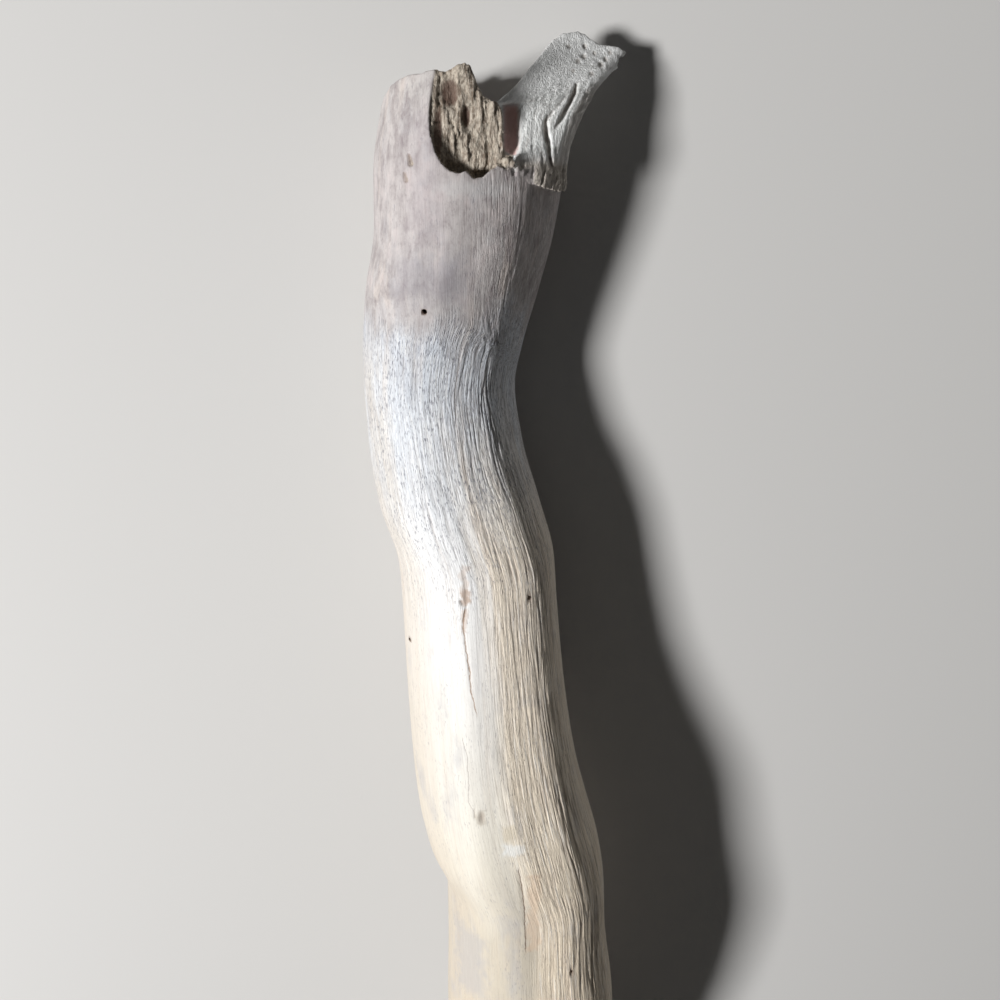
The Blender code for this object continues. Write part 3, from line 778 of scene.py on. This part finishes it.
def paintMasks(skin, skinTree, prongTree):  # what each place is, for the wood's colours
    c = cornersOf(skin)
    x, y, z = c.T
    out = outwardAt(skin)
    onTop = z > limbShape["topFrom"]
    atFork = y > limbShape["seam"] - 0.5
    onSkin = np.ones(len(x))
    onProng = np.zeros(len(x))
    onSkin[atFork] = stillSkin(c[atFork], skinTree, 0.35, 0.8)
    onProng[atFork] = (1 - onSkin[atFork]) * (1 - smoothStep(0.6, 1.2, nearness(prongTree, c[atFork])))
    farEnd = (y < limbShape["worn"][0]) & (out[:, 1] < -0.5)
    onSkin[farEnd] = 0
    # the prong's face turns tan at its foot and along its right edge
    fromEdge = prongLine("rightEdge", y) - x - 1.6
    tan = np.maximum(0.85 * smoothStep(89.5, 86, y), 0.6 * smoothStep(1.2, 0.2, fromEdge))
    onProng = onProng * (1 - tan * smoothStep(3, 4.5, x) * smoothStep(106, 101, y))
    onProng = onProng * np.maximum(smoothStep(0.8, 2.0, x), smoothStep(89, 92, y))
    torn = 1 - onSkin - onProng
    # painted light: the crevice layer lays a pale pinkish colour over the shaded slot beside the stub, standing for
    # light thrown into it
    crevice = np.exp(-(((x - 2.3) / 1.6) ** 6)) * smoothStep(86, 87.5, y) * smoothStep(99.5, 98, y) * (z < 34)
    mark = np.where(onTop & (y < 100), np.clip(furrowed(x, y) * 1.8, 0, 1), 0) * onSkin
    # painted shade: the prong's fissures and the insect holes get the mark colour too, standing for the shade inside
    # them
    for line in prongShape["fissures"]:
        mark = np.maximum(mark, 0.8 * np.clip(alongLine(x, y, line) / 2, 0, 1) * (1 - onSkin) * (y > 80))
    for hx, hy, bore in marks["holes"]:
        mark = np.maximum(mark, (np.hypot(x - hx, y - hy) < bore + 0.06) & (z > 20))
    g = grainPlace(x, y, z)
    furrow = combing(g)[0] * np.clip(combDepth(x, y, z)[0] / 0.2, 0.1, 1)
    g[:, 0] = np.where(onSkin < 0.5, (x - prongLine("lean", y)) * 1.1, g[:, 0])
    layers = {"furrow": furrow * onSkin, "torn": torn, "prongFace": onProng, "crevice": crevice, "mark": mark}
    for name, values in layers.items():
        layer = skin.data.attributes.new(name, "FLOAT", "POINT")
        layer.data.foreach_set("value", np.asarray(values, np.float32))
    layer = skin.data.attributes.new("grain", "FLOAT_VECTOR", "POINT")
    layer.data.foreach_set("vector", g.astype(np.float32).ravel())
    print("masks painted:", ", ".join(layers))


def makeSkin():
    limb = makeLimb()
    print("limb:", len(limb.data.polygons), "faces")
    fork, skinTree, prongTree = makeForkEnd()
    print("fork end remeshed:", len(fork.data.polygons), "faces")
    forkRelief(fork, skinTree, prongTree)
    applied(fork, "DECIMATE", ratio=forkShape["faces"] / (2 * len(fork.data.polygons)))
    modeOf(fork, "EDIT")
    bpy.ops.mesh.select_all(action="SELECT")
    bpy.ops.mesh.bisect(plane_co=(0, limbShape["seam"] + 0.6, 0), plane_no=(0, 1, 0), clear_inner=True)
    modeOf(fork, "OBJECT")
    makeFiner(limb)
    x, y, z = cornersOf(limb).T
    fade = smoothStep(-226, limbShape["worn"][0], y)
    height = grainRelief(x, y, z) * fade * (1 - 0.5 * smoothStep(0.1, 0.4, furrowed(x, y)))
    marked = (z > limbShape["topFrom"]) & (y < limbShape["seam"])
    height -= np.where(marked, furrowed(x, y) - alongLine(x, y, marks["ridge"]), 0)
    relieved(limb, height)
    skin = joined([limb, fork])
    modeOf(skin, "EDIT")
    print("edges bridged at the seam:", selectOnly(skin, "edges", lambda edge: edge.is_boundary))
    bpy.ops.mesh.bridge_edge_loops()
    bpy.ops.mesh.select_all(action="SELECT")
    bpy.ops.mesh.quads_convert_to_tris()
    bpy.ops.mesh.normals_make_consistent(inside=False)
    modeOf(skin, "OBJECT")
    drillHoles(skin)
    print("holes drilled:", len(marks["holes"]))
    c = cornersOf(skin)
    c[:, 2] = np.maximum(c[:, 2], 0)    # it rests on its flats
    moveCorners(skin, c)
    paintMasks(skin, skinTree, prongTree)
    moveCorners(skin, (c + home) * mm)
    bpy.ops.object.shade_smooth()
    return skin


woodFinish = {
    # colours of the skin from the far end to the fork: y, colour
    "along": [
        (-228, (0.56, 0.48, 0.37)), (-140, (0.60, 0.53, 0.42)), (-96, (0.62, 0.56, 0.46)), (-72, (0.78, 0.74, 0.65)),
        (-30, (0.87, 0.85, 0.82)), (8, (0.92, 0.93, 0.94)), (34, (0.80, 0.83, 0.87)), (48, (0.60, 0.62, 0.66)),
        (57, (0.52, 0.49, 0.48)), (84, (0.52, 0.48, 0.47)), (104, (0.57, 0.54, 0.52)),
    ],
    # what lies over them: colour, and the most of it that shows
    "ridgeSide": ((0.97, 0.83, 0.64), 0.75),      # the combed right side
    "leftSide": ((0.60, 0.52, 0.42), 0.6),
    # painted shade: a duller brown towards the underside
    "underside": ((0.50, 0.45, 0.40), 0.7),
    "silver": ((0.72, 0.78, 0.86), 0.45),
    "tanStreak": ((0.74, 0.56, 0.42), 0.2),
    "greyBloom": ((0.40, 0.41, 0.45), 0.36),
    "fineFurrow": ((0.20, 0.15, 0.12), 1.0),
    "furrow": ((0.20, 0.15, 0.12), 0.38),
    "paleRidge": ((0.92, 0.91, 0.88), 1.0),
    "dull": ((0.30, 0.26, 0.26), 1.0),
    "blush": ((0.70, 0.60, 0.58), 0.25),
    "speck": ((0.17, 0.17, 0.21), 0.7),
    "tornString": ((0.20, 0.145, 0.105), 0.4),
    "tornPale": ((0.76, 0.69, 0.58), 0.45),
    "tornSpeck": ((0.20, 0.145, 0.105), 0.45),
    "prongFibre": ((0.54, 0.51, 0.48), 0.35),
    "prongTop": ((0.92, 0.92, 0.91), 0.7),
    "prongPit": ((0.30, 0.25, 0.21), 0.5),
    # painted shade: the dark brown of the hollow's shaded pockets
    "pocket": ((0.11, 0.055, 0.038), 0.8),
    # painted light: a pale pinkish colour standing for light thrown into the shaded slot beside the stub
    "crevice": ((0.90, 0.60, 0.55), 0.9),
    # the marks' own dark colour on scars and cracks, and painted shade in slits, fissures and insect holes
    "mark": ((0.25, 0.18, 0.14), 0.7),
    # broken wood, from dark to light
    "torn": ((0.20, 0.145, 0.105), (0.55, 0.48, 0.395)),
    "prong": ((0.54, 0.51, 0.48), (0.93, 0.94, 0.92)),
    # left, right, low, high, softness, share, colour
    "stains": [
        (0.6, 4.2, -68.6, -65.4, 0.7, 0.5, (0.60, 0.52, 0.39)),
        (0.4, 5.8, -72.4, -69.8, 0.7, 0.45, (0.84, 0.88, 0.90)),
        (6.8, 9.6, -98.0, -77.0, 0.9, 0.45, (0.68, 0.48, 0.33)),
        (-11.5, -4.0, -115.0, -97.0, 2.2, 0.5, (0.42, 0.41, 0.42)),
        (-23.0, -6.5, 58.5, 68.0, 3.0, 0.42, (0.29, 0.27, 0.30)),
        (-26.0, -17.5, 55.5, 57.5, 2.6, 0.3, (0.62, 0.62, 0.65)),
        (-13.0, 3.0, 80.5, 83.0, 1.3, 0.4, (0.62, 0.61, 0.60)),
        (-19.0, -12.0, 70.0, 96.0, 2.5, 0.25, (0.36, 0.31, 0.34)),
        (-9.0, -7.2, -12.4, -8.6, 0.5, 0.7, (0.42, 0.28, 0.19)),
        (-9.3, -7.6, -8.6, -3.0, 0.6, 0.4, (0.56, 0.42, 0.32)),
        (-8.9, -7.6, -19.0, -13.4, 0.4, 0.5, (0.50, 0.36, 0.27)),
        (-5.4, -3.4, -65.2, -61.8, 0.6, 0.5, (0.40, 0.34, 0.27)),
    ],
    # thin dark lines: half width, share, colour, points (y, x)
    "lines": [
        (0.17, 0.85, (0.16, 0.10, 0.07), [
            (-99.3, 6.4), (-89.9, 6.1), (-85.7, 5.9), (-81.9, 5.5), (-78.5, 4.9), (-75.4, 4.4),
        ]),
        (0.24, 0.75, (0.36, 0.23, 0.15), [
            (-40.2, -5.3), (-33.0, -7.0), (-27.6, -7.4), (-23.3, -8.1), (-17.2, -8.8), (-13.0, -8.2),
        ]),
        (0.15, 0.5, (0.33, 0.28, 0.25), [
            (-63.8, -6.2), (-62.4, -6.1), (-60.2, -7.7), (-54.0, -7.6), (-49.3, -7.9), (-44.6, -9.3),
        ]),
    ],
    "topRise": (22.0, 26.0),      # stains and lines fade in between these levels
    "roughness": 0.72,
    "specular": 0.3,
    "bump": 0.5,
    "bumpHeight": 0.0006,
}


def woodMaterial(name):
    f = woodFinish
    wood = bpy.data.materials.new(name)
    wood.use_nodes = True
    nodes, links = wood.node_tree.nodes, wood.node_tree.links
    shader = nodes["Principled BSDF"]

    def join(value, socket):
        if isinstance(value, bpy.types.NodeSocket):
            links.new(value, socket)
        else:
            socket.default_value = value

    def node(kind, given, **settings):  # adds a node, sets or joins its inputs, and gives its outputs
        made = nodes.new("ShaderNode" + kind)
        for name, value in settings.items():
            setattr(made, name, value)
        for name, value in given.items():
            join(value, made.inputs[name])
        return made.outputs

    def attribute(name, out="Fac"):
        return node("Attribute", {}, attribute_name=name)[out]

    def scaled(vector, scale, move=(0, 0, 0)):
        return node("Mapping", {"Vector": vector, "Scale": scale, "Location": move})["Vector"]

    def noiseOf(vector, scale, detail, roughness=0.55, move=(0, 0, 0)):
        given = {"Vector": scaled(vector, scale, move), "Scale": 1.0, "Detail": detail, "Roughness": roughness}
        return node("TexNoise", given)["Fac"]

    def between(value, low, high, way="SMOOTHSTEP"):  # 0 below low, 1 above high
        given = {"Value": value, "From Min": low, "From Max": high}
        return node("MapRange", given, interpolation_type=way)["Result"]

    def maths(kind, a, b=0.0):
        return node("Math", {0: a, 1: b}, operation=kind)[0]

    kinds = ("MULTIPLY", "ADD", "SUBTRACT", "DIVIDE", "MAXIMUM")
    times, plus, minus, over, larger = [partial(maths, kind) for kind in kinds]
    flipped = partial(minus, 1.0)

    def mixed(share, *tones):
        a, b = [(*tone, 1) if isinstance(tone, tuple) else tone for tone in tones]
        return node("Mix", {0: share, 6: a, 7: b}, data_type="RGBA")[2]

    def tinted(base, where, name):  # lays one of the finish's colours over another
        tone, most = f[name]
        return mixed(times(where, most), base, tone)

    def ramped(value, stops):  # colours between places along a value
        first, last = stops[0][0], stops[-1][0]
        ramp = nodes.new("ShaderNodeValToRGB")
        join(between(value, first, last, "LINEAR"), ramp.inputs[0])
        marks = ramp.color_ramp.elements
        while len(marks) < len(stops):
            marks.new(0.5)
        for mark, (at, tone) in zip(marks, stops):
            mark.position = (at - first) / (last - first)
            mark.color = (*tone, 1)
        return ramp.outputs["Color"]

    def swinging(vector, scale, detail, size):  # noise from half of -size to half of size
        return times(minus(noiseOf(vector, scale, detail), 0.5), size)

    def thin(value, half):  # 1 where a noise passes through its middle
        return flipped(between(maths("ABSOLUTE", minus(value, 0.5)), 0.0, half))

    place = nodes.new("ShaderNodeTexCoord").outputs["Object"]
    inMm = scaled(place, (1000, 1000, 1000), tuple(-c for c in home))
    grain = attribute("grain", "Vector")
    x, y, z = node("SeparateXYZ", {0: inMm})
    across, _, up = node("SeparateXYZ", {0: grain})

    def apart(px, py, wide=1.0, long=1.0):  # squared distance from a spot
        overX, overY = over(minus(x, px), wide), over(minus(y, py), long)
        return plus(times(overX, overX), times(overY, overY))

    # broad colour along the limb, with a ragged border between its zones
    drifted = plus(y, swinging(grain, (0.12, 0.03, 0.12), 2.0, 26.0))
    colour = ramped(drifted, f["along"])

    # the right side is combed and tan below the knuckle
    comb = noiseOf(grain, (0.45, 0.02, 0.45), 2.0)
    beyond = times(between(drifted, 46.0, 58.0), 5.0)
    side = between(minus(plus(across, times(comb, 8.0)), beyond), 3.0, 10.0)
    below = flipped(between(y, -10.0, 44.0))
    colour = tinted(colour, times(side, below), "ridgeSide")

    # the left side is duller
    left = flipped(between(plus(across, times(comb, 6.0)), -15.0, -4.0))
    left = times(left, flipped(between(y, 30.0, 60.0)))
    colour = tinted(colour, left, "leftSide")

    # painted shade: the underside is coloured duller and browner, as the shaded side looks
    under = flipped(between(plus(up, times(comb, 4.0)), -9.0, 1.0))
    colour = tinted(colour, under, "underside")

    # silvery patch below the knuckle
    patch = times(between(y, -4.0, 26.0), flipped(between(drifted, 47.0, 56.0)))
    patch = times(patch, between(noiseOf(grain, (0.25, 0.05, 0.25), 3.0, move=(7, 3, 1)), 0.38, 0.62))
    patch = times(patch, flipped(under))
    colour = tinted(colour, patch, "silver")

    # tan streaks and grey bloom
    tan = between(noiseOf(grain, (0.30, 0.014, 0.30), 3.0, move=(3, 9, 2)), 0.54, 0.72)
    tan = times(tan, flipped(patch))
    colour = tinted(colour, tan, "tanStreak")
    bloom = between(noiseOf(grain, (0.16, 0.07, 0.16), 4.0, 0.6, move=(5, 1, 8)), 0.52, 0.74)
    bloom = times(bloom, flipped(times(patch, 0.7)))
    colour = tinted(colour, bloom, "greyBloom")

    # fine grain: pale ridges, dark furrows
    knee = times(between(y, -30.0, 16.0), flipped(between(drifted, 50.0, 58.0)))
    broken = between(noiseOf(grain, (0.7, 0.09, 0.7), 2.0, move=(4, 4, 1)), 0.30, 0.56)
    thread = times(thin(noiseOf(grain, (1.5, 0.05, 1.5), 1.0, 0.4), 0.045), broken)
    hair = thin(noiseOf(grain, (3.4, 0.16, 3.4), 1.0, 0.5, move=(2, 7, 5)), 0.06)
    fine = noiseOf(grain, (2.6, 0.09, 2.6), 3.0, 0.6)
    furrow = larger(thread, times(hair, 0.6))
    furrow = larger(furrow, flipped(between(fine, 0.34, 0.46)))
    strong = plus(plus(0.10, times(side, 0.27)), times(knee, 0.16))
    colour = tinted(colour, times(furrow, strong), "fineFurrow")
    colour = tinted(colour, attribute("furrow"), "furrow")
    pale = between(fine, 0.52, 0.66)
    combed = larger(side, knee)
    colour = tinted(colour, times(pale, plus(0.08, times(combed, 0.34))), "paleRidge")

    # the upper end is mottled and streaked
    upper = between(drifted, 46.0, 58.0)
    mottle = noiseOf(grain, (0.8, 0.1, 0.8), 5.0, 0.7, move=(8, 8, 2))
    blotch = noiseOf(inMm, (0.22, 0.14, 0.22), 4.0, 0.65, move=(1, 5, 0))
    grains = noiseOf(inMm, (1.2, 0.7, 1.2), 3.0, 0.7, move=(3, 1, 2))
    dull = plus(times(between(mottle, 0.44, 0.64), 0.35), times(between(blotch, 0.46, 0.66), 0.5))
    dull = plus(dull, times(between(grains, 0.50, 0.66), 0.3))
    colour = tinted(colour, times(dull, plus(0.1, times(upper, 0.9))), "dull")
    fresh = times(between(flipped(blotch), 0.50, 0.66), upper)
    colour = tinted(colour, fresh, "blush")

    # short dark dashes, thickest on the silvery part
    dash = noiseOf(grain, (4.2, 0.8, 4.2), 1.0, 0.5, move=(1, 4, 6))
    crowd = between(noiseOf(grain, (0.2, 0.1, 0.2), 2.0, move=(2, 2, 9)), 0.35, 0.65)
    crowd = times(plus(crowd, knee), 0.5)
    dashes = between(plus(dash, times(knee, 0.05)), 0.62, 0.70)
    colour = tinted(colour, times(dashes, crowd), "speck")

    # stains with soft edges
    onTop = between(z, *f["topRise"])
    stray = swinging(inMm, (0.5, 0.4, 0.5), 3.0, 4.0)
    for left, right, low, high, soft, share, tone in f["stains"]:
        inside = None
        for value, start, way in ((x, left, 1), (x, right, -1), (y, low, 1), (y, high, -1)):
            value = plus(value, times(stray, 0.5 + 0.6 * soft))
            edge = between(value, start - soft, start + soft)
            edge = edge if way > 0 else flipped(edge)
            inside = edge if inside is None else times(inside, edge)
        colour = mixed(times(times(inside, onTop), share), colour, tone)

    # thin lines drawn along the grain
    wobble = swinging(inMm, (0.9, 0.6, 0.9), 3.0, 0.9)
    drawn = None
    for half, share, tone, points in f["lines"]:
        first, last = points[0][0], points[-1][0]
        leftmost, rightmost = min(p[1] for p in points) - 1, max(p[1] for p in points) + 1
        wide = rightmost - leftmost
        course = ramped(y, [(at, 3 * ((where - leftmost) / wide,)) for at, where in points])
        middle = plus(times(course, wide), leftmost)
        gap = maths("ABSOLUTE", plus(minus(x, middle), wobble))
        line = flipped(between(gap, half * 0.3, half))
        ends = times(between(y, first, first + 3), flipped(between(y, last - 1, last)))
        line = times(times(line, ends), onTop)
        drawn = line if drawn is None else larger(drawn, line)
        colour = mixed(times(line, share), colour, tone)

    # broken wood
    strings = noiseOf(inMm, (1.3, 0.14, 0.7), 4.0, 0.65)
    string = thin(noiseOf(inMm, (1.1, 0.1, 0.8), 2.0, 0.6, move=(3, 1, 0)), 0.07)
    torn = mixed(between(strings, 0.28, 0.56), *f["torn"])
    torn = tinted(torn, string, "tornString")
    specks = noiseOf(inMm, (1.9, 1.1, 1.9), 3.0, 0.6, move=(6, 2, 4))
    torn = tinted(torn, between(specks, 0.50, 0.62), "tornPale")
    torn = tinted(torn, between(specks, 0.46, 0.36), "tornSpeck")
    colour = mixed(attribute("torn"), colour, torn)
    fibres = noiseOf(grain, (1.5, 0.1, 0.4), 4.0, 0.6, move=(9, 0, 3))
    fibre = thin(noiseOf(grain, (1.6, 0.08, 0.4), 2.0, 0.6, move=(5, 0, 7)), 0.06)
    prong = mixed(between(fibres, 0.20, 0.50), *f["prong"])
    prong = tinted(prong, fibre, "prongFibre")
    plane = between(plus(plus(y, times(x, -0.3)), stray), 97.0, 99.5)
    prong = tinted(prong, plane, "prongTop")
    for px, py, size in prongShape["pits"]:
        prong = tinted(prong, flipped(between(apart(px, py), 0.2 * size, 1.3 * size)), "prongPit")
    colour = mixed(attribute("prongFace"), colour, prong)

    # painted shade: the smooth pockets in the hollow are coloured the dark brown of their shaded floors
    for *pocket, deep in forkShape["pockets"]:
        pocketShade = flipped(between(plus(apart(*pocket), times(stray, 0.25)), 0.4, 1.2))
        pocketShade = times(times(pocketShade, attribute("torn")), between(z, 29.0, 32.0))
        colour = tinted(colour, pocketShade, "pocket")
    # the crevice layer is painted light in the shaded slot; the mark layer is the scars' and cracks' own colour, and
    # painted shade in slits, fissures and insect holes
    for layer in ("crevice", "mark"):
        colour = tinted(colour, attribute(layer), layer)
    links.new(colour, shader.inputs["Base Color"])

    # fine relief under the modelled grain
    bump = nodes.new("ShaderNodeBump")
    crumbs = noiseOf(inMm, (2.4, 1.6, 2.4), 4.0, 0.65)
    loose = larger(attribute("torn"), attribute("prongFace"))
    sound = flipped(loose)
    height = minus(times(fine, 0.7), times(plus(furrow, dashes), 0.3))
    height = times(minus(height, times(drawn, 0.8)), sound)
    height = times(height, plus(0.15, times(combed, 0.85)))
    rough = minus(times(crumbs, 1.2), times(larger(string, fibre), 0.45))
    height = plus(height, times(rough, loose))
    links.new(height, bump.inputs["Height"])
    bump.inputs["Strength"].default_value = f["bump"]
    bump.inputs["Distance"].default_value = f["bumpHeight"]
    links.new(bump.outputs["Normal"], shader.inputs["Normal"])
    shader.inputs["Roughness"].default_value = f["roughness"]
    shader.inputs["Specular IOR Level"].default_value = f["specular"]
    return wood


bpy.ops.object.select_all(action="DESELECT")
driftwood = makeSkin()
print("driftwood:", sum(len(face.vertices) - 2 for face in driftwood.data.polygons), "triangles")

view = {"lens": 36.0, "sensor": 36.0, "near": 0.01, "distance": 273.0, "tilt": 18.3}


def addCamera():
    tilt = math.radians(view["tilt"])
    place = Vector((0, view["distance"] * math.sin(tilt), view["distance"] * math.cos(tilt))) + Vector(home)
    bpy.ops.object.camera_add(location=place * mm, rotation=(-tilt, 0, 0))
    camera = bpy.context.object
    camera.data.lens = view["lens"]
    camera.data.sensor_width = view["sensor"]
    camera.data.clip_start = view["near"]
    bpy.context.scene.camera = camera


studio = {"keyHeight": 49.0, "keyDistance": 1.25, "keySize": 0.22, "keyPower": 19.5, "fill": 0.05}


def addLights():
    rise = math.radians(studio["keyHeight"])
    toKey = Vector((-math.cos(rise), 0.0, math.sin(rise)))
    bpy.ops.object.light_add(type="AREA", location=toKey * studio["keyDistance"])
    key = bpy.context.object
    key.name = "keyLight"
    key.rotation_euler = (-toKey).to_track_quat("-Z", "Y").to_euler()
    key.data.size = studio["keySize"]
    key.data.energy = studio["keyPower"]
    world = bpy.data.worlds.new("studio")
    world.use_nodes = True
    sky = world.node_tree.nodes["Background"]
    sky.inputs["Color"].default_value = (1, 1, 1, 1)
    sky.inputs["Strength"].default_value = studio["fill"]
    bpy.context.scene.world = world
    bpy.context.scene.view_settings.view_transform = "Standard"


floorPlan = {"size": 4, "colour": (0.60, 0.59, 0.575), "roughness": 0.9}


def plainPaint(name, colour, roughness):
    paint = bpy.data.materials.new(name)
    paint.use_nodes = True
    shader = paint.node_tree.nodes["Principled BSDF"]
    shader.inputs["Base Color"].default_value = (*colour, 1)
    shader.inputs["Roughness"].default_value = roughness
    return paint


def addFloor():
    bpy.ops.mesh.primitive_plane_add(size=floorPlan["size"], location=(0, 0, 0))
    floor = bpy.context.object
    floor.name = "floor"
    floor.data.materials.append(plainPaint("paleFloor", floorPlan["colour"], floorPlan["roughness"]))


addCamera()
addLights()
addFloor()
print("camera, light and floor placed")
driftwood.data.materials.append(woodMaterial("bleachedWood"))
print("wood painted")
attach(driftwood, "root")
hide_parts("trunk", "prong")
